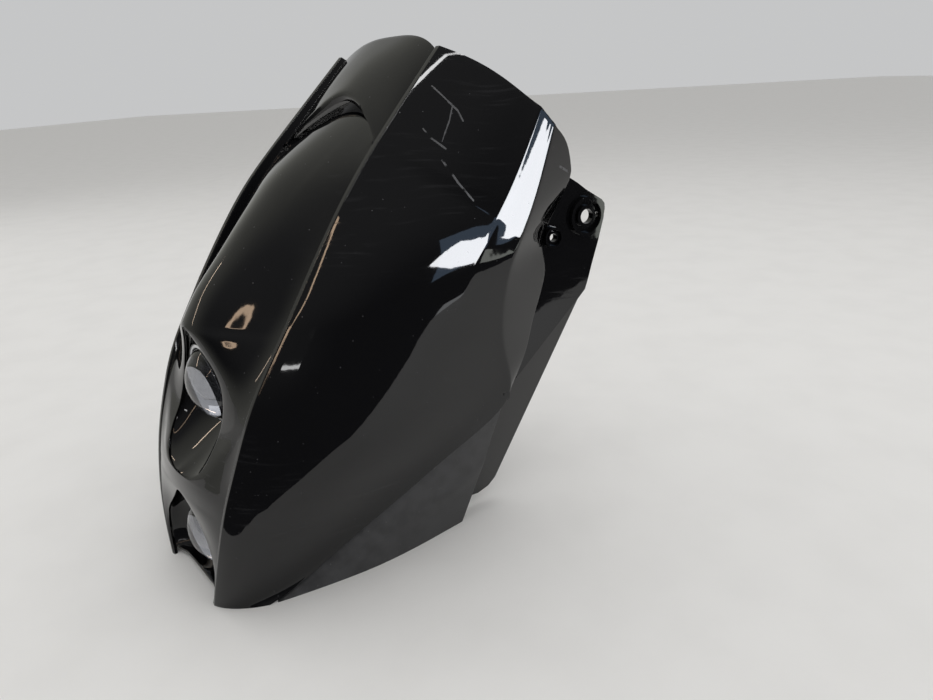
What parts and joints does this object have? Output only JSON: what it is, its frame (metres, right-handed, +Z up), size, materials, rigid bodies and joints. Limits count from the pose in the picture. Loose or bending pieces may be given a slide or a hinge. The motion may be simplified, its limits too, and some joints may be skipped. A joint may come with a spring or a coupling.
{
  "type": "headlight cowl",
  "caption": "Gloss black motorcycle headlight cowl with raised ridges, brow vent and two stacked projector lamps",
  "frame": {"origin": "centre of the bounding box's bottom face, on the surface the cowl stands on", "axes": "+Z up, -Y towards the nose and the light, +X to the machine's left"},
  "size_m": [0.2638, 0.3337, 0.383],
  "materials": {
    "gloss_black": "high gloss black moulded plastic with fine scratches and dust",
    "satin_black": "satin black moulded plastic with a fine grain",
    "lamp_plastic": "plain dark grey glass-filled plastic",
    "lens_glass": "clear polished glass",
    "lamp_metal": "satin turned aluminium",
    "lamp_casting": "fine grey die casting",
    "shutter_steel": "plain stamped steel",
    "bulb_glass": "clear quartz bulb on a pressed base",
    "cap_rubber": "soft black rubber",
    "screw_steel": "zinc plated steel"
  },
  "bodies": {
    "root": {"front_cowl": "gloss_black", "upper_bezel": "gloss_black", "lower_bezel": "gloss_black", "left_lower_panel": "satin_black", "right_lower_panel": "satin_black", "left_inner_panel": "gloss_black", "right_inner_panel": "gloss_black", "lamp_carrier": "lamp_plastic", "upper_lens": "lens_glass", "lower_lens": "lens_glass", "upper_lens_ring": "lamp_metal", "lower_lens_ring": "lamp_metal", "upper_lens_holder": "lamp_casting", "lower_lens_holder": "lamp_casting", "upper_shutter": "shutter_steel", "lower_shutter": "shutter_steel", "upper_reflector": "lamp_casting", "lower_reflector": "lamp_casting", "upper_bulb": "bulb_glass", "lower_bulb": "bulb_glass", "upper_bulb_cap": "cap_rubber", "lower_bulb_cap": "cap_rubber", "upper_adjusters": "screw_steel", "lower_adjusters": "screw_steel", "upper_reflector_screws": "screw_steel", "lower_reflector_screws": "screw_steel", "carrier_screws": "screw_steel", "inner_panel_screws": "screw_steel", "lower_panel_screws": "screw_steel"}
  },
  "joints": []
}
